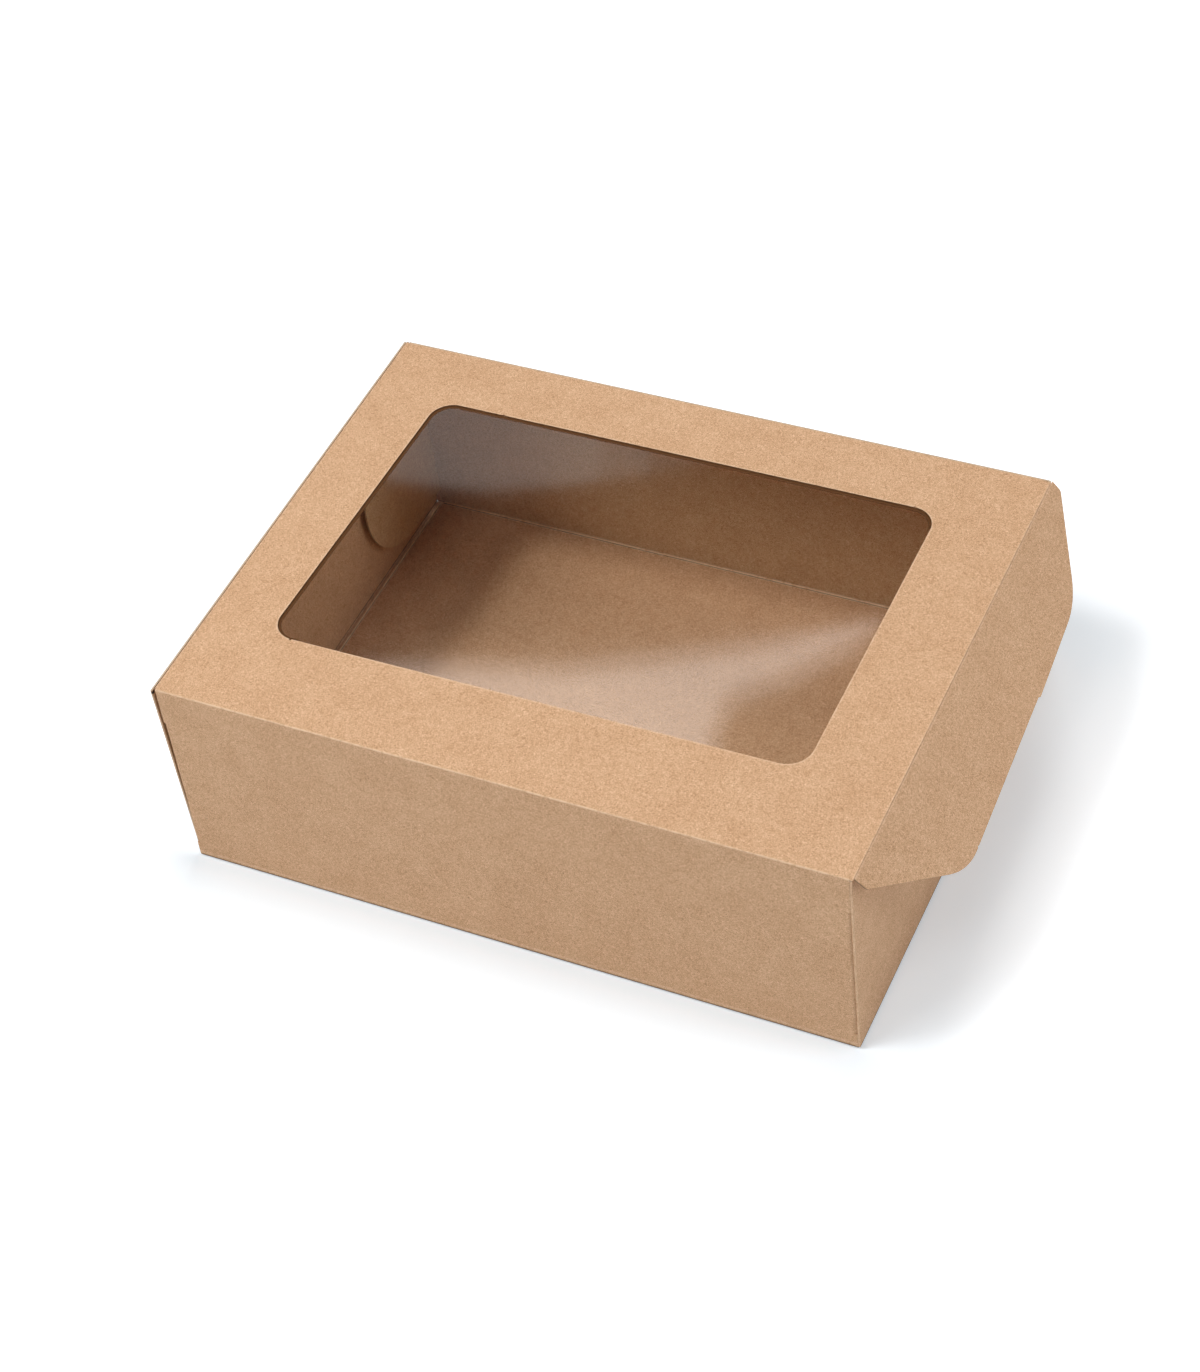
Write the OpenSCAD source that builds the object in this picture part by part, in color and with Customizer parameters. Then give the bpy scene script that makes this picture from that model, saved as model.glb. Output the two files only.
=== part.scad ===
// Kraft carton with a windowed tuck lid, shown with its right end flap out of its tuck.
// Sizes are in millimetres. The origin is the middle of the underside, X runs along the
// long walls and Z is up. The lid folds along the top edge of the front (-Y) wall.

/* [Box] */
// Length of the lid's panel
length = 200; // [120:1:320]
// Depth over the front and back walls at the top
depth = 151; // [100:1:240]
// Height over the closed lid
height = 66; // [55:1:120]
// Thickness of the board
board = 0.55; // [0.4:0.05:0.8]
// Outer radius of a pressed fold
fold_radius = 0.9; // [0.9:0.05:2]
// Radius of the raised bead along an inside crease
crease_bead = 0.35; // [0.2:0.05:0.5]
// Rounding of the sharp crest where the lid or the end flap hinges
crest_radius = 0.3; // [0.1:0.05:0.4]
// Distance by which the left end wall stands out from the lid
wall_spread = 1.2; // [1:0.05:3]
// Distance by which the foot of the front wall leans out
front_spread = 2.2; // [0:0.1:6]

/* [Corner tabs] */
// Length of a tab, from its fold to its free end
tab_length = 42.3; // [28:0.1:60]
// Height of a tab's lower edge above the ground
tab_low = 5.8; // [3:0.1:15]
// Distance of a tab's upper edge below the top
tab_drop = 12.6; // [8:0.1:20]
// Radius of the rounded free end of a tab
tab_round = 23.7; // [5:0.1:30]
// Turn of the left tabs away from the left end wall, degrees
tab_turn_left = 0.8; // [0.6:0.1:3]
// Turn of the right tabs away from the right end wall, degrees
tab_turn_right = 0.45; // [0.3:0.05:3]

/* [Window] */
// Board left of the window at its front end
window_left = 19.7; // [12:0.1:60]
// Board left of the window at its rear end
window_left_rear = 21.9; // [12:0.1:60]
// Board right of the window
window_right = 24.4; // [12:0.1:60]
// Board in front of the window at its left end
window_front = 28.7; // [12:0.1:50]
// Board in front of the window at its right end
window_front_right = 29.9; // [12:0.1:50]
// Board behind the window
window_back = 22.1; // [12:0.1:50]
// Corner radius of the window
window_radius = 7; // [1:0.5:20]
// Width of the film glued to the board round the window
film_border = 8; // [4:0.5:10]
// Thickness of the film
film = 0.1; // [0.05:0.05:0.3]

/* [Back tuck flap] */
// Depth of the flap tucked behind the back wall
tuck_depth = 22; // [14:0.5:28]
// Distance of its ends from the end walls
tuck_inset = 3; // [2.5:0.5:10]
// Corner radius of its free corners
tuck_round = 12; // [2:0.5:13]

/* [End flaps] */
// Angle of the untucked flap below the plane of the lid, degrees
flap_bend = 50; // [20:1:80]
// Length of the flap at its front corner
flap_front = 29; // [22:0.5:30]
// Length of the flap at its rear corner
flap_rear = 23.6; // [18:0.2:26]
// Length before the step in its free edge
step_before = 25.8; // [22:0.1:28]
// Length after the step
step_after = 26.35; // [22:0.05:29]
// Distance of the step behind the middle
step_place = 14.5; // [0:0.5:20]
// Length of the straight shoulder at the front
shoulder_front = 4.6; // [2:0.1:10]
// Length of the straight shoulder at the rear
shoulder_rear = 3.8; // [2:0.1:10]
// Slope of the front cut, degrees
cut_front = 40.9; // [35:0.1:60]
// Slope of the rear cut, degrees
cut_rear = 37.6; // [35:0.1:60]
// Corner radius at the front
round_front = 17; // [2:0.5:18]
// Corner radius at the rear
round_rear = 25; // [2:0.5:26]

/* [Hidden] */
kraft = [0.84, 0.69, 0.53];
flap_kraft = [0.76, 0.62, 0.49];
clear = [0.86, 0.88, 0.88, 0.3];
hinge_gap = 0.05;
fit_gap = 0.12;
left_gap = 0.47;
end_gap = 0.8;
wall_end = 0.2;
lid_over = 0.5;
skin = 0.02;
relief = 0.1;
lap = 1;
floor_lap = 4;
fold_inset = 0.8;
top_gap = 0.1;
back_drop = 0.8;
left_drop = 1;
bead_rise = 0.4;
tuck_taper = 2;
tuck_clear = 0.4;
tab_flat = 0.05;
flap_step = 0.6;
flap_round = 1.5;
step_run = 0.5;
nick_radius = 0.35;
nick_width = 0.7;
nick_run = 21;
arc_steps = 6;
inner_radius = fold_radius - board;
half_length = length / 2;
half_depth = depth / 2;
back_top = height - back_drop;
left_top = height - left_drop;
low_top = height - board - top_gap;
front_end = half_length - board - hinge_gap;
tab_high = height - tab_drop;
tab_corner = min(tab_round, (tab_high - tab_low) / 2 - tab_flat);
left_face = half_length + wall_spread;
lid_left = board + left_gap - left_face;
lid_right = half_length + lid_over;
outward = left_face + 5;
lid_back = half_depth - board - fit_gap;
tuck_lean = asin(tuck_depth / (2 * depth)) + tuck_clear;
tuck_half = half_length - tuck_inset;
tuck_fold_half = half_length - fold_inset;
flap_half = half_depth - end_gap;
film_top = height - board;
front_crest = [crest_radius - half_depth, height - hinge_gap - crest_radius];
front_bend = [fold_radius - half_depth - front_spread, fold_radius];
back_bend = [half_depth - fold_radius, fold_radius];
front_lean = tangent_lean(front_crest - front_bend, fold_radius - crest_radius);

// Lean of a flat wall that runs from one fold up to another, whose radius is smaller by step
function tangent_lean(up, step) =
  asin(step / norm(up)) + atan(up[0] / up[1]);

// Y of the front wall's outer face at height z
function front_face(z) =
  let (reach = crest_radius - front_crest[0] * cos(front_lean) + front_crest[1] * sin(front_lean))
  (z * sin(front_lean) - reach) / cos(front_lean);

function unit(v) = v / norm(v);

// Points on an arc, with both ends
function arc(centre, radius, from, to, steps = arc_steps) =
  [for (i = [0 : steps])
    let (angle = from + (to - from) * i / steps)
    centre + radius * [cos(angle), sin(angle)]];

// Signed turn from one angle to another, between -180 and 180
function turn(from, to) =
  let (d = (to - from) % 360)
  d > 180 ? d - 360 : d < -180 ? d + 360 : d;

// One corner of an outline: b, rounded between its neighbours a and c
function rounded_corner(a, b, c, radius) =
  let (u = unit(a - b), v = unit(c - b))
  let (half = acos(u * v) / 2)
  let (centre = b + unit(u + v) * radius / sin(half))
  let (start = b + u * radius / tan(half) - centre)
  let (stop = b + v * radius / tan(half) - centre)
  let (first = atan2(start[1], start[0]))
  arc(centre, radius, first, first + turn(first, atan2(stop[1], stop[0])), 12);

// Outline from a list of [x, y, corner radius]
function rounded(list) =
  [for (i = [0 : len(list) - 1])
    let (a = list[(i + len(list) - 1) % len(list)])
    let (b = list[i])
    let (c = list[(i + 1) % len(list)])
    let (here = [b[0], b[1]])
    for (p = b[2] > 0
      ? rounded_corner([a[0], a[1]], here, [c[0], c[1]], b[2])
      : [here])
    p];

// Board bent round a fold and running straight on, as points in the plane across the fold.
// A root runs back from its start, and a slip takes that much off each face.
function bent_strip(centre, from, to, run, root = 0, slip = 0) =
  let (outer = fold_radius - slip, inner = inner_radius + slip)
  let (face = [cos(to), sin(to)], first = [cos(from), sin(from)])
  let (on = run * sign(to - from) * [-face[1], face[0]])
  let (back = root * sign(from - to) * [-first[1], first[0]])
  concat(
    root > 0 ? [centre + outer * first + back] : [],
    arc(centre, outer, from, to),
    [centre + outer * face + on, centre + inner * face + on],
    arc(centre, inner, to, from),
    root > 0 ? [centre + inner * first + back] : []
  );

// Flat shape in Y and Z, made solid along X
module along_x(from, to) {
  translate([from, 0, 0])
    rotate([90, 0, 90])
      linear_extrude(to - from)
        children();
}

// Flat shape in X and Z, made solid along Y
module along_y(from, to) {
  translate([0, to, 0])
    rotate([90, 0, 0])
      linear_extrude(to - from)
        children();
}

// Front wall, floor and back wall as one bent section
module long_section() {
  mitre = crest_radius + (board - crest_radius) / (cos(front_lean) + sin(front_lean));
  polygon(concat(
    [[mitre - half_depth, height - hinge_gap - mitre]],
    arc(front_crest, crest_radius, 135, 180 - front_lean),
    arc(front_bend, fold_radius, 180 - front_lean, 270),
    arc(back_bend, fold_radius, 270, 360),
    [[half_depth, back_top], [half_depth - board, back_top]],
    arc(back_bend, inner_radius, 360, 270),
    arc(front_bend, inner_radius, 270, 180 - front_lean)
  ));
}

// Left end wall with its floor fold, outer face at -face. Its front edge runs from front_top
// to front_foot, and its fold stops where the long walls' folds begin.
module end_wall(face, top, front_top, front_foot) {
  centre = [fold_radius - face, fold_radius];
  rear = half_depth - wall_end;
  difference() {
    intersection() {
      along_y(-depth, depth)
        polygon(concat(
          [[floor_lap - half_length, 0]],
          arc(centre, fold_radius, 270, 180),
          [[-face, top], [board - face, top]],
          arc(centre, inner_radius, 180, 270),
          [[floor_lap - half_length, board]]
        ));
      along_x(-outward, 0)
        polygon([[front_foot, 0], [rear, 0], [rear, height], [front_top, height]]);
    }
    for (from = [back_bend[0], front_bend[0] - depth])
      translate([-outward, from, -fold_radius])
        cube([outward, depth, 2 * fold_radius]);
  }
}

// Corner tab at the left end of an upright wall at -Y, with its fold rooted in the wall
module corner_tab(turned) {
  front = -half_depth;
  far = tab_length - half_depth;
  centre = [fold_radius - front_end, fold_radius + front];
  intersection() {
    linear_extrude(height)
      polygon(bent_strip(centre, 270, 180 - turned, depth / 2, fold_radius, skin));
    along_x(-half_length, 0)
      polygon(rounded([
        [front - board, tab_low, 0],
        [far, tab_low, tab_corner],
        [far, tab_high, tab_corner],
        [front - board, tab_high, 0]
      ]));
  }
}

// Tips the front tabs with the front wall
module with_front_lean() {
  translate([0, front_crest[0], front_crest[1]])
    rotate([-front_lean, 0, 0])
      translate([0, -front_crest[0], -front_crest[1]])
        children();
}

// Raised bead along an inside crease of the floor
module floor_beads() {
  in = board + crease_bead * bead_rise;
  reach_x = half_length - 2 * fold_radius;
  reach_y = half_depth - 2 * fold_radius;
  for (side = [-1, 1]) {
    along_x(-reach_x, reach_x)
      translate([side * (half_depth - in), in])
        circle(r = crease_bead, $fn = 16);
    along_y(-reach_y, reach_y)
      translate([side * (half_length - in), in])
        circle(r = crease_bead, $fn = 16);
  }
}

// Foot of the back wall below the left tab, run out to the left end wall
module back_foot() {
  intersection() {
    along_x(board + hinge_gap - left_face, lap - front_end) long_section();
    translate([-outward, back_bend[0], 0])
      cube([outward, depth, tab_low - relief]);
  }
}

module tray() {
  notch = 2 * fold_radius;
  notch_deep = 2 * (fold_radius + front_spread);
  color(kraft) {
    difference() {
      along_x(-front_end, front_end) long_section();
      // ends of the flat floor, where the end walls fold up
      for (side = [-1, 1])
        translate([side * half_length - fold_radius, front_bend[0], -fold_radius])
          cube([notch, back_bend[0] - front_bend[0], notch]);
      // ends of the long walls, where the tabs fold back
      for (side = [-1, 1], end = [-1, 1])
        translate([side * front_end, end * half_depth, (tab_low + tab_high) / 2])
          cube([notch, notch_deep, tab_high - tab_low + 2 * relief], center = true);
    }
    back_foot();
    end_wall(left_face, left_top, wall_end - half_depth, wall_end - half_depth);
    mirror([1, 0, 0])
      end_wall(half_length, low_top, front_face(height) + hinge_gap, front_face(0) + hinge_gap);
    for (side = [0, 1]) {
      turned = side == 0 ? tab_turn_left : tab_turn_right;
      mirror([side, 0, 0]) with_front_lean() corner_tab(turned);
      mirror([side, 0, 0]) mirror([0, 1, 0]) corner_tab(turned);
    }
    floor_beads();
  }
}

// Cut outline shared by the two end flaps: length from the fold in X, place along it in Y
function flap_outline() =
  let (front = flap_step - flap_half)
  let (front_run = (flap_front - shoulder_front) / tan(cut_front))
  let (rear_run = (flap_rear - shoulder_rear) / tan(cut_rear))
  rounded([
    [0, -flap_half, 0],
    [shoulder_front, front, flap_round],
    [flap_front, front + front_run, round_front],
    [step_before, step_place, 0],
    [step_after, step_place + step_run, 0],
    [flap_rear, flap_half - rear_run, round_rear],
    [shoulder_rear, flap_half, flap_round],
    [0, flap_half, 0]
  ]);

// Small nick left in the flap's free edge by the cutting die
module flap_nick() {
  translate([flap_front - nick_radius, -half_depth / 2, 0])
    cylinder(r = nick_radius, h = 4 * board, center = true, $fn = 12);
}

// The lid's panel, with a mitred crest at the front and at the right
module lid_panel() {
  front_crest = [crest_radius - half_depth, height - crest_radius];
  right_crest = [lid_right - crest_radius, height - crest_radius];
  intersection() {
    along_x(-outward, outward)
      polygon(concat(
        [[board - half_depth, height - board]],
        arc(front_crest, crest_radius, 135, 90),
        [[lid_back - fold_radius, height], [lid_back - fold_radius, height - board]]
      ));
    along_y(-half_depth, half_depth)
      polygon(concat(
        [[lid_left + fold_radius, height - board], [lid_left + fold_radius, height]],
        arc(right_crest, crest_radius, 90, 45),
        [[lid_right - board, height - board]]
      ));
  }
}

// Window in the lid, with three nicks left by the die
module window_cut() {
  left = window_left - half_length;
  left_rear = window_left_rear - half_length;
  right = half_length - window_right;
  front = window_front - half_depth;
  front_right = window_front_right - half_depth;
  back = half_depth - window_back;
  translate([0, 0, height - 2 * board])
    linear_extrude(3 * board)
      polygon(rounded([
        [left, front, window_radius],
        [right, front_right, window_radius],
        [right, back, window_radius],
        [left_rear, back, window_radius]
      ]));
  for (nick = [[left + window_radius, front], [left_rear + nick_run, back], [right - window_radius, back]])
    translate([nick[0], nick[1], height - board / 2])
      cube([nick_width, nick_width, 3 * board], center = true);
}

// Flap folded down at the lid's left edge, tucked beside the left end wall
module left_flap() {
  centre = [lid_left + fold_radius, height - fold_radius];
  edge = [for (p = flap_outline()) [p[1], height - p[0]]];
  intersection() {
    along_y(-half_depth, half_depth)
      polygon(bent_strip(centre, 90, 180, flap_front));
    along_x(-outward, 0)
      polygon(concat([[-flap_half, height + board]], edge, [[flap_half, height + board]]));
  }
}

// Flap folded down at the lid's back edge, tucked in front of the back wall
module tuck_flap() {
  centre = [lid_back - fold_radius, height - fold_radius];
  low = height - tuck_depth;
  step = height - 2 * fold_radius;
  intersection() {
    along_x(-half_length, half_length)
      polygon(bent_strip(centre, 90, -tuck_lean, tuck_depth));
    along_y(0, depth)
      polygon(rounded([
        [-tuck_fold_half, height + board, 0],
        [-tuck_fold_half, step, 0],
        [-tuck_half, step, 0],
        [tuck_taper - tuck_half, low, tuck_round],
        [tuck_half - tuck_taper, low, tuck_round],
        [tuck_half, step, 0],
        [tuck_fold_half, step, 0],
        [tuck_fold_half, height + board, 0]
      ]));
  }
}

module lid() {
  color(kraft) {
    difference() {
      lid_panel();
      window_cut();
    }
    left_flap();
    tuck_flap();
  }
}

module window_film() {
  left = window_left - film_border - half_length;
  front = window_front - film_border - half_depth;
  wide = length - window_left - window_right + 2 * film_border;
  deep = depth - window_front - window_back + 2 * film_border;
  color(clear)
    translate([left, front, film_top - film])
      cube([wide, deep, film]);
}

// Untucked right flap, standing out from its fold on the lid
module end_flap() {
  crest = [crest_radius, -crest_radius];
  far = flap_front + 5;
  start = hinge_gap;
  color(flap_kraft)
    translate([lid_right, 0, height])
      rotate([0, flap_bend, 0])
        translate([start, 0, 0])
          difference() {
            intersection() {
              along_y(-half_depth, half_depth)
                polygon(concat(
                  [[far, 0]],
                  arc(crest, crest_radius, 90, 135),
                  [[board, -board], [far, -board]]
                ));
              translate([0, 0, -2 * board])
                linear_extrude(3 * board)
                  polygon(flap_outline());
            }
            flap_nick();
          }
}

tray();
lid();
window_film();
end_flap();
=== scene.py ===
import math

import bpy
from mathutils import Matrix, Vector

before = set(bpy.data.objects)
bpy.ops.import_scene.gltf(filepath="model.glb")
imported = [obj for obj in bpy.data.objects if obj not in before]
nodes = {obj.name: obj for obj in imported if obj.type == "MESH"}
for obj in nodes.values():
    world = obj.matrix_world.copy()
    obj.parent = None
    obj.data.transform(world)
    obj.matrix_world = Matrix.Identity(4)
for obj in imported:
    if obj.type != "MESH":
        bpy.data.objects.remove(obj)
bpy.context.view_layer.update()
print("frame loaded:", sorted(nodes))


# ---- helpers for finishes: one wire class for the sums, one method for every other node

class Wire:
    def __init__(self, finish, socket):
        self.finish = finish
        self.socket = socket

    def __add__(self, other):
        return self.finish.maths("ADD", self, other)

    __radd__ = __add__

    def __sub__(self, other):
        return self.finish.maths("SUBTRACT", self, other)

    def __rsub__(self, other):
        return self.finish.maths("SUBTRACT", other, self)

    def __mul__(self, other):
        return self.finish.maths("MULTIPLY", self, other)

    __rmul__ = __mul__

    def __pow__(self, other):
        return self.finish.maths("POWER", self, other)


class Finish:
    # a material or world, built node by node
    def __init__(self, owner):
        owner.use_nodes = True
        self.owner = owner
        self.tree = owner.node_tree
        self.tree.nodes.clear()

    def add(self, kind, settings=None, sockets=None, out=0):
        node = self.tree.nodes.new(kind)
        for key, value in (settings or {}).items():
            if key == "stops":
                for stop, (place, colour) in zip(self.rampStops(node, len(value)), value):
                    stop.position = place
                    stop.color = colour
            else:
                setattr(node, key, value)
        for key, value in (sockets or {}).items():
            if isinstance(value, Wire):
                self.tree.links.new(value.socket, node.inputs[key])
            else:
                node.inputs[key].default_value = value
        return Wire(self, node.outputs[out]) if len(node.outputs) else node

    def rampStops(self, node, count):
        stops = node.color_ramp.elements
        while len(stops) < count:
            stops.new(0.5)
        return stops

    def maths(self, operation, first, second=0.0, clamp=False):
        settings = {"operation": operation, "use_clamp": clamp}
        return self.add("ShaderNodeMath", settings, {0: first, 1: second})

    def size(self, value):
        return self.maths("ABSOLUTE", value)

    def both(self, *masks):
        first = masks[0]
        for mask in masks[1:]:
            first = self.maths("MULTIPLY", first, mask, clamp=True)
        return first

    def either(self, first, second):
        return self.maths("MAXIMUM", first, second)

    def soft(self, value, low, high):
        # 0 below low, 1 above high, smooth in between; low may be the larger one
        turned = low > high
        sockets = {"Value": value, 1: min(low, high), 2: max(low, high), 3: 0.0, 4: 1.0}
        ramp = self.add("ShaderNodeMapRange", {"interpolation_type": "SMOOTHSTEP"}, sockets)
        return 1 - ramp if turned else ramp

    def band(self, value, low, high, blur):
        # 1 from low to high, fading out over blur on both sides
        return self.both(self.soft(value, low - blur, low), self.soft(value, high + blur, high))

    def blend(self, share, first, second):
        return self.add("ShaderNodeMix", {"data_type": "RGBA"}, {0: share, 6: first, 7: second}, out=2)

    def stretch(self, vector, scale):
        return self.add("ShaderNodeVectorMath", {"operation": "MULTIPLY"}, {0: vector, 1: scale})

    def split(self, vector):
        first = self.add("ShaderNodeSeparateXYZ", {}, {0: vector})
        outputs = first.socket.node.outputs
        return [Wire(self, outputs[i]) for i in range(3)]

    def noise(self, place, scale, detail=2.0, rough=0.5, twist=0.0):
        sockets = {"Vector": place, "Scale": scale, "Detail": detail, "Roughness": rough}
        sockets["Distortion"] = twist
        return self.add("ShaderNodeTexNoise", {"normalize": True}, sockets)

    def millimetres(self):
        # object coordinates: every node's origin is the part's own
        rest = self.add("ShaderNodeTexCoord", {}, {}, out=3)
        return self.stretch(rest, (1000.0, 1000.0, 1000.0))

    def surface(self, shader):
        self.add("ShaderNodeOutputMaterial", {}, {"Surface": shader})


def srgb(red, green, blue):
    linear = [((c / 255 + 0.055) / 1.055) ** 2.4 for c in (red, green, blue)]
    return (*linear, 1.0)


# ---- the carton's and the window's own places, in millimetres of the part's frame

carton = {
    "top": 66.0,
    "frontFold": -75.5,
    "frontLean": 0.0339,  # how far the front wall leans out per millimetre of drop
    "frontFoot": (-77.6, 2.0),
    "frontCorner": -75.35,
    "backFace": 75.5,
    "backCorner": (99.2, 75.3),
    "leftFace": -101.0,
    "leftFold": -99.8,
    "rightFace": 99.8,
    "rightFold": 99.7,
    "tabFold": (99.1, -74.9),
    "underFold": 0.2,
    "innerEnd": 99.3,
    "innerLong": 74.8,
    "floorTop": 0.7,
    "hinge": 100.5,
    "lidLeft": -99.95,
    "lidBack": 74.6,
}

window = {
    "left": -80.3,
    "leftSlope": 0.0219,
    "right": 75.6,
    "front": -46.8,
    "frontSlope": 0.0077,
    "rear": 53.4,
    "radius": 7.0,
}

# folds: the axis a fold runs along, its two places across that, reach and strength of the pale line, partly
# wear and partly painted highlight;
# "lean" runs up the leaning front wall
trayFolds = [
    ("x", carton["frontFold"], carton["top"], 0.55, 1.2),
    ("x", *carton["frontFoot"], 0.7, 0.6),
    ("x", carton["backFace"], carton["underFold"], 0.8, 0.35),
    ("y", carton["rightFace"], carton["underFold"], 0.8, 0.35),
    ("y", carton["leftFace"], carton["underFold"], 0.8, 0.35),
    ("lean", carton["leftFold"], carton["frontCorner"], 0.55, 1.0),
    ("lean", carton["rightFold"], carton["frontCorner"], 0.6, 0.5),
    ("lean", *carton["tabFold"], 0.7, 0.6),
    ("z", -carton["backCorner"][0], carton["backCorner"][1], 0.7, 0.5),
    ("z", *carton["backCorner"], 0.7, 0.5),
    # the inner floor creases get a strong pale line, painted highlight on the crease beads
    ("x", carton["innerLong"], carton["floorTop"], 0.9, 1.8),
    ("x", -carton["innerLong"], carton["floorTop"], 0.9, 1.8),
    ("y", carton["innerEnd"], carton["floorTop"], 0.9, 1.8),
    ("y", -carton["innerEnd"], carton["floorTop"], 0.9, 1.8),
]
lidFolds = [
    ("x", carton["frontFold"], carton["top"], 0.55, 1.2),
    ("x", carton["lidBack"], carton["top"], 0.8, 0.4),
    ("y", carton["hinge"], carton["top"], 0.7, 0.55),
    ("y", carton["lidLeft"], carton["top"], 0.8, 0.4),
]
flapFolds = [("y", carton["hinge"], carton["top"], 0.7, 0.55)]


# ---- kraft board, shared by the tray, the lid and the end flap

kraft = {
    "pale": srgb(247, 212, 175),
    "mid": srgb(215, 171, 133),
    "dark": srgb(169, 125, 86),
    # pale folds and window rim: partly wear, partly painted highlight
    "paleWearAndHighlight": srgb(237, 203, 169),
    "fleck": srgb(128, 90, 60),
    "cutEdge": srgb(204, 184, 160),
    "wallEdge": srgb(214, 182, 150),
    # painted shade on the end flap's cut edges
    "flapEdgeShade": srgb(160, 126, 98),
    # painted shade on the window's cut faces
    "windowEdgeShade": srgb(118, 80, 50),
    # painted shade for the slit and the hole at its top
    "gap": srgb(62, 44, 32),
    # painted contact shadow where the walls stand on the floor
    "contactShadow": srgb(92, 70, 54),
    # painted light and shade inside the tray: walls, floor and left wall
    "insideWallShade": (0.92, 0.985, 0.95),
    "insideFloorLight": (1.03, 1.01, 0.955),
    "leftWallLight": (1.18, 1.28, 1.28),
    "roughness": 0.86,
    "roughSwing": 0.2,
    "sheen": 0.25,
    "bump": 0.55,
    "fibreHeight": 0.00005,  # metres
}

# paper texture: strength in the tone, patterns per millimetre, detail, roughness, twist, height
fibres = {
    "clouds": (0.26, 0.11, 4.0, 0.6, 0.0, 2.0),
    "patches": (0.12, 0.45, 3.0, 0.6, 0.0, 0.0),
    "curls": (1.6, 1.5, 2.0, 0.7, 2.4, 0.5),
    "fuzz": (1.45, 2.9, 2.0, 0.7, 1.2, 0.35),
}

# curly strands: pale ones and dark ones, each with its patterns per millimetre and its stretch
strands = {
    "pale": (0.8, (0.8, 1.2, 1.0)),
    "dark": (0.9, (1.2, 0.8, 1.1)),
    "detail": 1.0,
    "rough": 0.5,
    "twist": 3.0,
    "width": (0.035, 0.005),
    "share": 0.16,
    "height": 0.05,
}

flecks = {
    "scale": 0.9,
    "shape": (1.0, 1.7, 1.3),
    "detail": 2.0,
    "rough": 0.7,
    "twist": 1.2,
    "spread": (0.69, 0.76),
    "share": 0.5,
}

# how unevenly the folds' pale lines are laid on, partly wear and partly painted highlight
foldPaleness = {
    "scale": 0.5,
    "detail": 4.0,
    "rough": 0.75,
    "spread": (0.36, 0.6),
    "least": 0.2,
    "core": 0.25,
}


def strandLines(f, mm, kind):
    # thin lines where a twisted noise passes its middle
    scale, shape = strands[kind]
    field = f.noise(f.stretch(mm, shape), scale, strands["detail"], strands["rough"], strands["twist"])
    return f.soft(f.size(field - 0.5), *strands["width"])


def paperTone(f, mm):
    # returns the paper's colour, its height and the fuzz that also varies the roughness
    layers = {}
    tone = 0.5
    paleStrands = strandLines(f, mm, "pale")
    height = paleStrands * strands["height"]
    for name, (share, scale, detail, rough, twist, rise) in fibres.items():
        layers[name] = f.noise(mm, scale, detail, rough, twist)
        tone = tone + (layers[name] - 0.5) * share
        height = height + layers[name] * rise
    tone = tone + (paleStrands - strandLines(f, mm, "dark")) * strands["share"]
    stops = [(0.0, kraft["dark"]), (0.5, kraft["mid"]), (1.0, kraft["pale"])]
    colour = f.add("ShaderNodeValToRGB", {"stops": stops}, {0: tone})
    place = f.stretch(mm, flecks["shape"])
    cells = f.noise(place, flecks["scale"], flecks["detail"], flecks["rough"], flecks["twist"])
    colour = f.blend(f.soft(cells, *flecks["spread"]) * flecks["share"], colour, kraft["fleck"])
    return colour, height, layers["fuzz"]


def leanPlace(y, z):
    # y as if the front wall stood upright, so its face is at frontFold all the way down
    return y + (carton["top"] - z) * carton["frontLean"]


def foldWearAndHighlight(f, mm, place, folds):
    # folds painted pale, unevenly: partly wear, partly painted highlight
    x, y, z = place
    rubAndHighlight = None
    for along, first, second, reach, strength in folds:
        across = {"x": (y, z), "y": (x, z), "z": (x, y), "lean": (x, leanPlace(y, z))}[along]
        gap = ((across[0] - first) ** 2.0 + (across[1] - second) ** 2.0) ** 0.5
        line = f.soft(gap, reach, reach * foldPaleness["core"]) * strength
        rubAndHighlight = line if rubAndHighlight is None else f.either(rubAndHighlight, line)
    field = f.noise(mm, foldPaleness["scale"], foldPaleness["detail"], foldPaleness["rough"])
    uneven = f.soft(field, *foldPaleness["spread"]) * (1 - foldPaleness["least"])
    return f.both(rubAndHighlight, uneven + foldPaleness["least"])


def kraftFinish(name, folds, marks):
    # marks paints what belongs to one piece only: cut edges, painted shade in the slit and on cut edges, and
    # painted light and shade inside
    f = Finish(bpy.data.materials.new(name))
    mm = f.millimetres()
    place = f.split(mm)
    face = f.split(f.add("ShaderNodeTexCoord", {}, {}, out=1))
    colour, height, fuzz = paperTone(f, mm)
    # pale folds: partly wear, partly painted highlight
    colour = f.blend(foldWearAndHighlight(f, mm, place, folds), colour, kraft["paleWearAndHighlight"])
    colour = marks(f, colour, mm, place, face)
    sockets = {"Strength": kraft["bump"], "Distance": kraft["fibreHeight"], "Height": height}
    bump = f.add("ShaderNodeBump", {}, sockets)
    sockets = {
        "Base Color": colour,
        "Roughness": kraft["roughness"] + (fuzz - 0.5) * kraft["roughSwing"],
        "Specular IOR Level": kraft["sheen"],
        "Normal": bump,
    }
    f.surface(f.add("ShaderNodeBsdfPrincipled", {}, sockets))
    return f.owner


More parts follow.
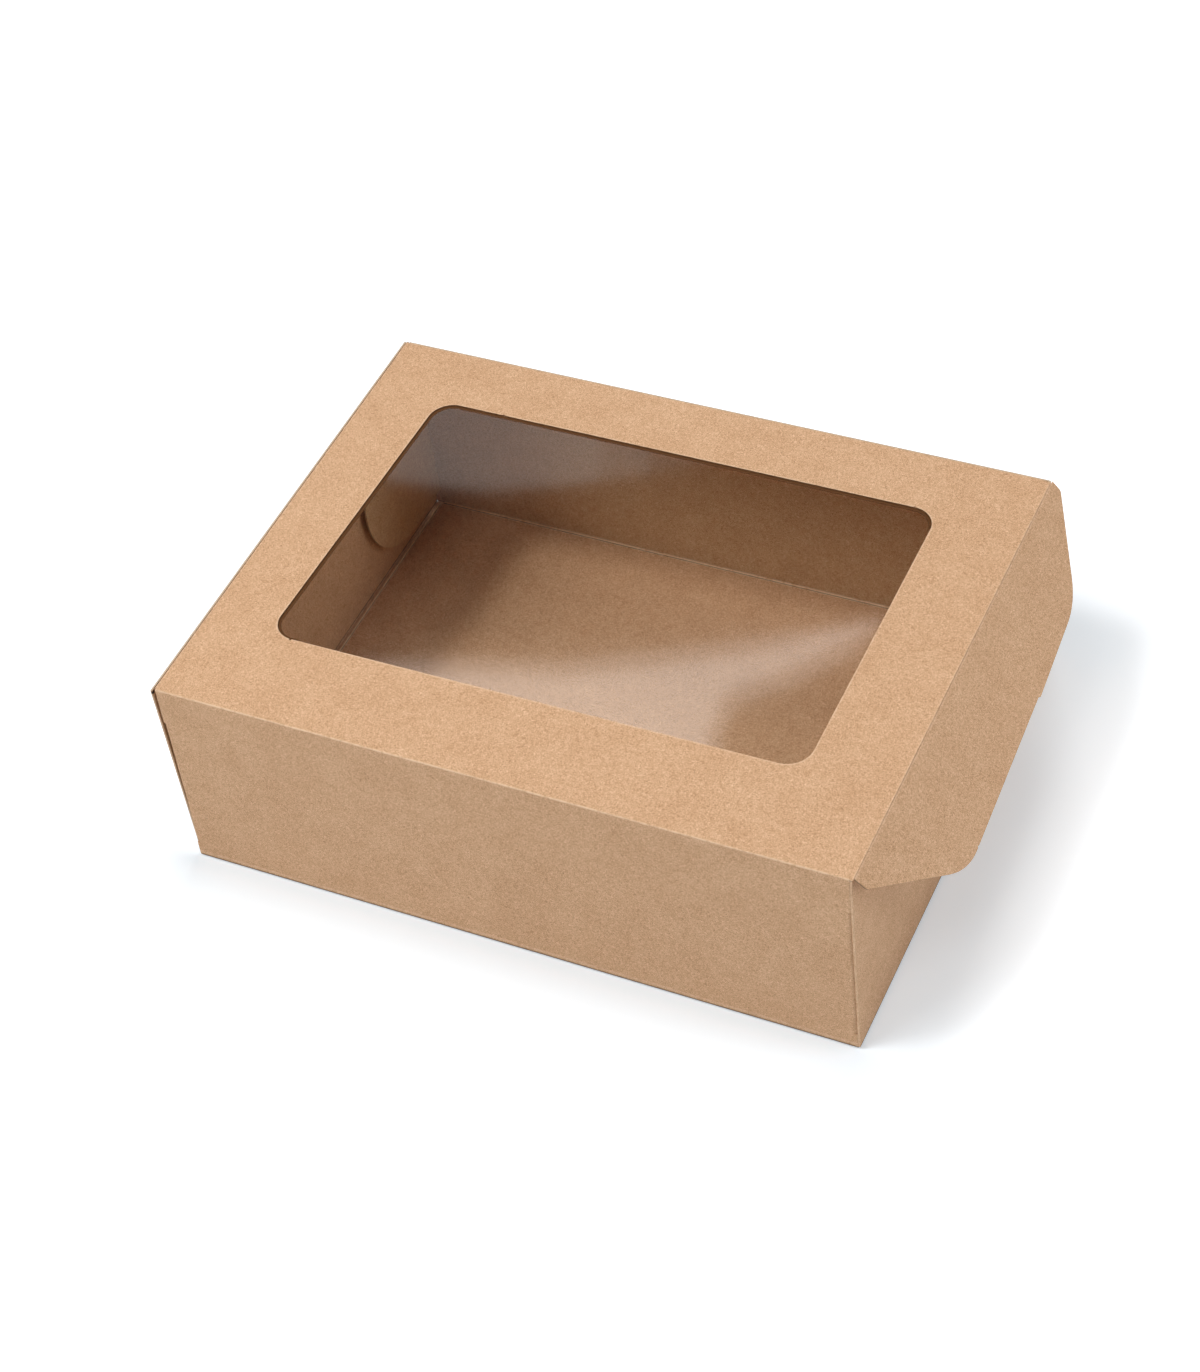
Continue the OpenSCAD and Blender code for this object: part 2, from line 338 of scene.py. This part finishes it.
# what is painted on the tray: each mask's ramp as (from, to) in millimetres, or of the face's direction
trayPaint = {
    "wallTops": (64.6, 64.9),
    "tabFaces": (97.9, 98.0),
    "tabFeet": (4.0, 5.0),
    "tabReach": (73.5, 73.0),
    "cutShare": 0.9,
    "footLine": (1.3, 0.8),
    "footShare": 0.8,
    "upright": (-0.9, 0.2),
    "insideAbove": (0.4, 0.5),
    "insideEnds": (99.4, 99.2),
    "insideBack": (75.25, 75.1),
    "insideFront": (-75.3, -75.1),
    "leftWallInner": (-97.0, -98.0),
    "leftWallFront": (-73.0, -72.0),
    "leftWallFoot": (0.8, 1.2),
    "wallEndReach": (75.1, 75.2),
    "wallEndSide": (-99.9, -100.1),
    "slitBand": (-100.75, -100.05),
    "slitLean": 0.008,
    "slitDepth": (-74.6, -74.3),
    "slitBack": (-70.0, -72.0),
    "slitShare": 0.35,
    "holeHeight": 64.2,
    "holeSize": (0.6, 0.45),
    "holeBand": (-100.95, -100.0),
    "holeFront": (-74.2, -74.4),
    "bandBlur": 0.1,
    "facing": (0.6, 0.8),
    "notFacing": (0.5, 0.3),
    "turning": (0.4, 0.6),
}


def trayMarks(f, colour, mm, place, face):
    x, y, z = place
    lean = leanPlace(y, z)
    side, along, up = face
    paint = trayPaint
    blur = paint["bandBlur"]
    # raw cut edges of the walls' tops and of the corner tabs
    tops = f.both(f.soft(z, *paint["wallTops"]), f.soft(up, *paint["facing"]))
    tabs = f.both(f.soft(f.size(x), *paint["tabFaces"]), f.soft(z, *paint["tabFeet"]))
    tabs = f.both(tabs, f.soft(f.size(side), *paint["notFacing"]), f.soft(f.size(y), *paint["tabReach"]))
    colour = f.blend(f.either(tops, tabs) * paint["cutShare"], colour, kraft["cutEdge"])
    # painted contact shadow: a dark line where the walls stand on the floor
    upright = f.band(up, *paint["upright"], blur)
    footShadow = f.both(f.soft(z, *paint["footLine"]), upright) * paint["footShare"]
    colour = f.blend(footShadow, colour, kraft["contactShadow"])
    # painted light and shade inside: the walls get a less red, darker copy of the kraft than the floor, the
    # floor a brighter one, and the left wall is painted paler
    inside = f.both(f.soft(z, *paint["insideAbove"]), f.soft(f.size(x), *paint["insideEnds"]))
    inside = f.both(inside, f.soft(y, *paint["insideBack"]), f.soft(lean, *paint["insideFront"]))
    walls = f.stretch(colour, kraft["insideWallShade"])
    floor = f.stretch(colour, kraft["insideFloorLight"])
    colour = f.blend(inside, colour, f.blend(f.soft(up, *paint["turning"]), walls, floor))
    leftWall = f.both(f.soft(x, *paint["leftWallInner"]), f.soft(y, *paint["leftWallFront"]))
    leftWall = f.both(leftWall, f.soft(z, *paint["leftWallFoot"]), f.soft(side, *paint["turning"]))
    colour = f.blend(leftWall, colour, f.stretch(colour, kraft["leftWallLight"]))
    # pale front and rear edges of the left end wall
    ends = f.both(f.soft(f.size(y), *paint["wallEndReach"]), f.soft(x, *paint["wallEndSide"]))
    ends = f.both(ends, f.soft(f.size(along), *paint["facing"]))
    colour = f.blend(ends, colour, kraft["wallEdge"])
    # painted shade in the depth of the slit between the left end wall and the front wall, and a painted dark
    # hole at its top
    depth = lean - (carton["top"] - z) * paint["slitLean"]
    slitShade = f.both(f.band(x, *paint["slitBand"], blur), f.soft(depth, *paint["slitDepth"]))
    slitShade = f.both(slitShade, f.soft(lean, *paint["slitBack"])) * paint["slitShare"]
    holeRound = f.soft(f.size(z - paint["holeHeight"]), *paint["holeSize"])
    holeShade = f.both(holeRound, f.soft(lean, *paint["holeFront"]))
    holeShade = f.both(holeShade, f.band(x, *paint["holeBand"], blur))
    return f.blend(f.either(slitShade, holeShade), colour, kraft["gap"])


def windowGap(f, x, y):
    # distance outwards from the window's rounded outline
    left = (y - window["front"]) * window["leftSlope"] + window["left"]
    front = (x - window["left"]) * window["frontSlope"] + window["front"]
    aside = f.size(x - (left + window["right"]) * 0.5) - (window["right"] - left) * 0.5
    along = f.size(y - (front + window["rear"]) * 0.5) - (window["rear"] - front) * 0.5
    aside = aside + window["radius"]
    along = along + window["radius"]
    corner = (f.either(aside, 0.0) ** 2.0 + f.either(along, 0.0) ** 2.0) ** 0.5
    return corner + f.maths("MINIMUM", f.either(aside, along), 0.0) - window["radius"]


# what is painted on the lid round the window: the cut edge in painted shade, and a broken pale line on the
# board, partly the cut's paler lip and partly painted highlight
lidPaint = {
    "cutReach": (0.3, 0.1),
    "cutFacing": (0.6, 0.4),
    "cutShare": 0.95,
    "rimMiddle": 0.15,
    "rimWidth": (0.4, 0.1),
    "rimAbove": (65.8, 65.95),
    "rimLeast": 0.15,
    "rimSwing": 0.5,
    "rimScale": 0.4,
    "rimDetail": 3.0,
    "rimRough": 0.7,
    "rimSpread": (0.35, 0.6),
}


def lidMarks(f, colour, mm, place, face):
    x, y, z = place
    paint = lidPaint
    gap = windowGap(f, x, y)
    # the window's cut faces painted dark as shade
    cutShade = f.both(f.soft(gap, *paint["cutReach"]), f.soft(f.size(face[2]), *paint["cutFacing"]))
    colour = f.blend(cutShade * paint["cutShare"], colour, kraft["windowEdgeShade"])
    # pale rim round the window: partly the cut's paler lip, partly painted highlight
    field = f.noise(mm, paint["rimScale"], paint["rimDetail"], paint["rimRough"])
    uneven = f.soft(field, *paint["rimSpread"])
    rim = f.both(f.soft(f.size(gap - paint["rimMiddle"]), *paint["rimWidth"]), f.soft(z, *paint["rimAbove"]))
    return f.blend(rim * (paint["rimLeast"] + uneven * paint["rimSwing"]), colour, kraft["paleWearAndHighlight"])


flapPaint = {
    "bend": 50.0,  # degrees below the lid
    "cutFacing": (0.6, 0.4),
    "cutShare": 0.9,
}


def flapMarks(f, colour, mm, place, face):
    # cut edges are the faces that turn away from the bent board's own upward direction; they are painted
    # dark as shade
    bend = math.radians(flapPaint["bend"])
    upward = face[0] * math.sin(bend) + face[2] * math.cos(bend)
    cutShade = f.soft(f.size(upward), *flapPaint["cutFacing"]) * flapPaint["cutShare"]
    return f.blend(cutShade, colour, kraft["flapEdgeShade"])


def dress(node, material):
    mesh = nodes[node].data
    mesh.materials.clear()
    mesh.materials.append(material)


dress("tray", kraftFinish("kraftTray", trayFolds, trayMarks))
dress("lid", kraftFinish("kraftLid", lidFolds, lidMarks))
dress("end_flap", kraftFinish("kraftEndFlap", flapFolds, flapMarks))
print("kraft board finished")


# ---- window film: clear, with soft reflections and painted shade as a dark line on its left and far sides

film = {
    "tint": (0.97, 0.975, 0.98, 1.0),
    "roughness": 0.055,
    "straightOn": 0.042,
    "edgeShadeColour": srgb(104, 70, 44),
    "edgeShadeShare": 0.85,
    "edgeShadeRough": 0.8,
    # millimetres outwards from the window's outline, and the sides where the painted shade shows
    "edgeShadeBand": (-0.75, 0.1),
    "edgeShadeBlur": 0.35,
    "edgeShadeLeft": (-70.0, -74.0),
    "edgeShadeFar": (45.0, 49.0),
}


def filmFinish():
    f = Finish(bpy.data.materials.new("clearFilm"))
    x, y, z = f.split(f.millimetres())
    facing = f.add("ShaderNodeLayerWeight", {}, {"Blend": 0.5}, out=1)
    gloss = film["straightOn"] + facing ** 5.0 * (1 - film["straightOn"])
    clear = f.add("ShaderNodeBsdfTransparent", {}, {"Color": film["tint"]})
    sockets = {"Base Color": (1.0, 1.0, 1.0, 1.0), "Metallic": 1.0, "Roughness": film["roughness"]}
    mirror = f.add("ShaderNodeBsdfPrincipled", {}, sockets)
    mixed = f.add("ShaderNodeMixShader", {}, {0: gloss, 1: clear, 2: mirror})
    # painted shade only under the board's cut edge, not on the whole glued border
    sides = f.either(f.soft(x, *film["edgeShadeLeft"]), f.soft(y, *film["edgeShadeFar"]))
    line = f.band(windowGap(f, x, y), *film["edgeShadeBand"], film["edgeShadeBlur"])
    share = f.both(line, sides) * film["edgeShadeShare"]
    sockets = {"Base Color": film["edgeShadeColour"], "Roughness": film["edgeShadeRough"], "Specular IOR Level": 0.0}
    edgeShade = f.add("ShaderNodeBsdfPrincipled", {}, sockets)
    mixed = f.add("ShaderNodeMixShader", {}, {0: share, 1: mixed, 2: edgeShade})
    f.surface(mixed)
    return f.owner


dress("window_film", filmFinish())
print("film finished")


# ---- camera, at the photograph's angle

camera = {
    "place": Vector((0.29246, -0.49674, 0.62386)),
    "look": Vector((-0.35888, 0.59460, -0.71948)),
    "right": Vector((0.90405, 0.41317, -0.10949)),
    "frame": (1200, 1372),
    "focus": 2962,  # lens to picture, in the frame's pixels
    "sensor": 36.0,
    "clip": (0.05, 30.0),
}


def setCamera():
    data = bpy.data.cameras.new("camera")
    data.sensor_width = camera["sensor"]
    data.lens = camera["focus"] * camera["sensor"] / max(camera["frame"])
    data.clip_start, data.clip_end = camera["clip"]
    holder = bpy.data.objects.new("camera", data)
    bpy.context.scene.collection.objects.link(holder)
    look = camera["look"].normalized()
    right = (camera["right"] - look * camera["right"].dot(look)).normalized()
    turn = Matrix([right, right.cross(look), -look]).transposed().to_4x4()
    holder.matrix_world = Matrix.Translation(camera["place"]) @ turn
    bpy.context.scene.camera = holder
    return turn.to_3x3()


cameraTurn = setCamera()


# ---- pale floor and studio

studio = {
    "floorColour": (0.825, 0.87, 0.905, 1.0),
    # the floor's glow for the camera: dimmer close in front of the box as painted shade, the base glow
    # beside the box, brighter further out as painted light that fades the box's shadow, and white far away
    "frontShadeGlow": (0.09, 0.10, 0.108, 1.0),
    "nearLift": (0.284, 0.305, 0.320, 1.0),
    "shadowFadeGlow": (0.478, 0.475, 0.472, 1.0),
    "farLift": (1.0, 1.0, 1.0, 1.0),
    "footprint": (0.1005, 0.0775),
    "frontSide": (-0.076, -0.080),
    "frontEnd": (0.112, 0.092),
    "frontShadeReach": (0.016, -0.004),
    "shadowFadeReach": (0.009, 0.036),
    "farReach": (0.10, 0.50),
    "floorReach": 6.0,
    "ambient": 0.14,
    "aim": (0.0, 0.0, 0.03),
}

# lamps: place, size in metres, power in watts, colour
lamps = {
    "keyLamp": ((-0.7, -0.7, 1.9), 0.8, 4.8, (1.0, 1.0, 1.0)),
    "nearKeyLamp": ((-0.75, -0.8, 1.1), 0.8, 5.6, (1.0, 1.0, 1.0)),
    "leftLamp": ((-0.28, -0.22, 1.15), 0.22, 3.4, (1.0, 1.0, 1.0)),
    "frontLamp": ((0.3, -0.8, 2.0), 0.6, 4.4, (1.0, 1.0, 1.0)),
    "lowFrontLamp": ((-0.2, -1.8, 0.6), 0.9, 1.8, (1.0, 1.0, 1.0)),
    "backLamp": ((-0.1, 1.0, 1.8), 0.6, 7.6, (1.0, 1.0, 1.0)),
    "rightLamp": ((1.4, 0.2, 0.3), 0.5, 2.7, (1.0, 1.0, 1.0)),
    "highRightLamp": ((1.6, 0.5, 1.5), 1.0, 7.8, (0.95, 1.0, 1.08)),
}


def seenDirectly(f):
    # 1 for the camera's own rays and for what gloss and clear pieces show
    light = f.add("ShaderNodeLightPath", {}, {})
    outputs = light.socket.node.outputs
    rays = [Wire(f, outputs[name]) for name in ("Is Camera Ray", "Is Glossy Ray", "Is Transmission Ray")]
    return f.either(f.either(rays[0], rays[1]), rays[2])


def setPiece(name, corners, finish):
    mesh = bpy.data.meshes.new(name)
    mesh.from_pydata([tuple(corner) for corner in corners], [], [tuple(range(len(corners)))])
    mesh.materials.append(finish)
    piece = bpy.data.objects.new(name, mesh)
    bpy.context.scene.collection.objects.link(piece)
    return piece


def square(reach, height):
    sides = [(-1, -1), (1, -1), (1, 1), (-1, 1)]
    return [(across * reach, along * reach, height) for across, along in sides]


def floorFinish():
    f = Finish(bpy.data.materials.new("paleFloor"))
    x, y, z = f.split(f.add("ShaderNodeTexCoord", {}, {}, out=3))
    halfLength, halfDepth = studio["footprint"]
    aside = f.either(f.size(x) - halfLength, 0.0)
    along = f.either(f.size(y) - halfDepth, 0.0)
    gap = (aside ** 2.0 + along ** 2.0) ** 0.5
    # painted shade on the floor close in front of the box, and painted light further out that fades the
    # box's shadow
    beside = f.both(f.soft(y, *studio["frontSide"]), f.soft(x, *studio["frontEnd"]))
    front = f.both(beside, f.soft(gap, *studio["frontShadeReach"]))
    lift = f.blend(front, studio["nearLift"], studio["frontShadeGlow"])
    lift = f.blend(f.soft(gap, *studio["shadowFadeReach"]), lift, studio["shadowFadeGlow"])
    lift = f.blend(f.soft(gap, *studio["farReach"]), lift, studio["farLift"])
    sockets = {
        "Base Color": studio["floorColour"],
        "Roughness": 1.0,
        "Specular IOR Level": 0.0,
        "Emission Color": f.blend(seenDirectly(f), (0.0, 0.0, 0.0, 1.0), lift),
        "Emission Strength": 1.0,
    }
    f.surface(f.add("ShaderNodeBsdfPrincipled", {}, sockets))
    return f.owner


def setWorld():
    world = bpy.data.worlds.new("studioRoom")
    bpy.context.scene.world = world
    f = Finish(world)
    room = (studio["ambient"], studio["ambient"], studio["ambient"], 1.0)
    colour = f.blend(seenDirectly(f), room, (1.0, 1.0, 1.0, 1.0))
    back = f.add("ShaderNodeBackground", {}, {"Color": colour, "Strength": 1.0})
    f.add("ShaderNodeOutputWorld", {}, {"Surface": back})


def setLamps():
    for name, (place, size, power, colour) in lamps.items():
        data = bpy.data.lights.new(name, "AREA")
        data.size = size
        data.energy = power
        data.color = colour
        lamp = bpy.data.objects.new(name, data)
        bpy.context.scene.collection.objects.link(lamp)
        lamp.location = place
        aim = Vector(studio["aim"]) - Vector(place)
        lamp.rotation_mode = "QUATERNION"
        lamp.rotation_quaternion = aim.to_track_quat("-Z", "Y")
        lamp.visible_glossy = False
        lamp.visible_camera = False


setPiece("floor", square(studio["floorReach"], 0.0), floorFinish())
setWorld()
setLamps()
print("floor and lamps set")


# ---- what the film mirrors: a dim ceiling and two pale cards, seen by glossy rays only

mirrored = {
    "ceilingHeight": 1.5,
    "ceilingReach": 3.0,
    "ceilingGlow": 0.03,
    "cardHeight": 0.5,
    "filmHeight": 0.0654,
    "coolTint": (0.95, 0.99, 0.97, 1.0),
    "paleTint": (1.0, 0.95, 0.9, 1.0),
}

# cards: tint, glow and outline, as points of the photograph's frame that the card is seen through
cards = {
    "backGlow": ("coolTint", 0.95, [(330, 300), (600, 300), (600, 481), (560, 486),
                                    (485, 491), (395, 481), (330, 460)]),
    "backHaze": ("coolTint", 0.7, [(600, 300), (650, 300), (650, 474), (600, 481)]),
    "backFade": ("coolTint", 0.38, [(650, 300), (710, 300), (710, 462), (650, 474)]),
    "backLast": ("coolTint", 0.15, [(710, 300), (800, 300), (780, 440), (710, 462)]),
    "frontHaze": ("paleTint", 1.1, [(888, 617), (760, 636), (660, 650), (560, 660), (460, 658), (360, 661),
                                    (360, 675), (460, 672), (560, 676), (660, 667), (760, 652)]),
    "frontGlow": ("paleTint", 2.5, [(888, 617), (760, 652), (660, 667), (560, 676), (460, 672),
                                    (360, 675), (360, 720), (560, 790), (706, 800), (707, 735),
                                    (724, 694), (790, 668), (846, 641)]),
    "frontRim": ("paleTint", 1.1, [(888, 617), (846, 641), (790, 668), (724, 694), (707, 735), (706, 800),
                                   (722, 800), (721, 737), (739, 706), (802, 683), (856, 654)]),
}


def throughFilm(pixel):
    # from the camera through a point of the frame, off the film, up to the cards' height
    across = (pixel[0] - camera["frame"][0] / 2) / camera["focus"]
    down = (pixel[1] - camera["frame"][1] / 2) / camera["focus"]
    ray = cameraTurn @ Vector((across, -down, -1.0))
    hit = camera["place"] + ray * ((mirrored["filmHeight"] - camera["place"].z) / ray.z)
    bounced = Vector((ray.x, ray.y, -ray.z))
    return hit + bounced * ((mirrored["cardHeight"] - hit.z) / bounced.z)


def glossyOnly(name, corners, glow, tint):
    f = Finish(bpy.data.materials.new(name))
    f.surface(f.add("ShaderNodeEmission", {}, {"Color": tint, "Strength": glow}))
    card = setPiece(name, corners, f.owner)
    card.visible_camera = False
    card.visible_diffuse = False
    card.visible_shadow = False
    card.visible_transmission = False
    card.visible_volume_scatter = False


ceiling = square(mirrored["ceilingReach"], mirrored["ceilingHeight"])
glossyOnly("dimCeiling", ceiling, mirrored["ceilingGlow"], mirrored["coolTint"])
for name, (tint, glow, outline) in cards.items():
    glossyOnly(name, [throughFilm(pixel) for pixel in outline], glow, mirrored[tint])
print("cards set")


bpy.context.scene.view_settings.view_transform = "Standard"
bpy.context.view_layer.update()
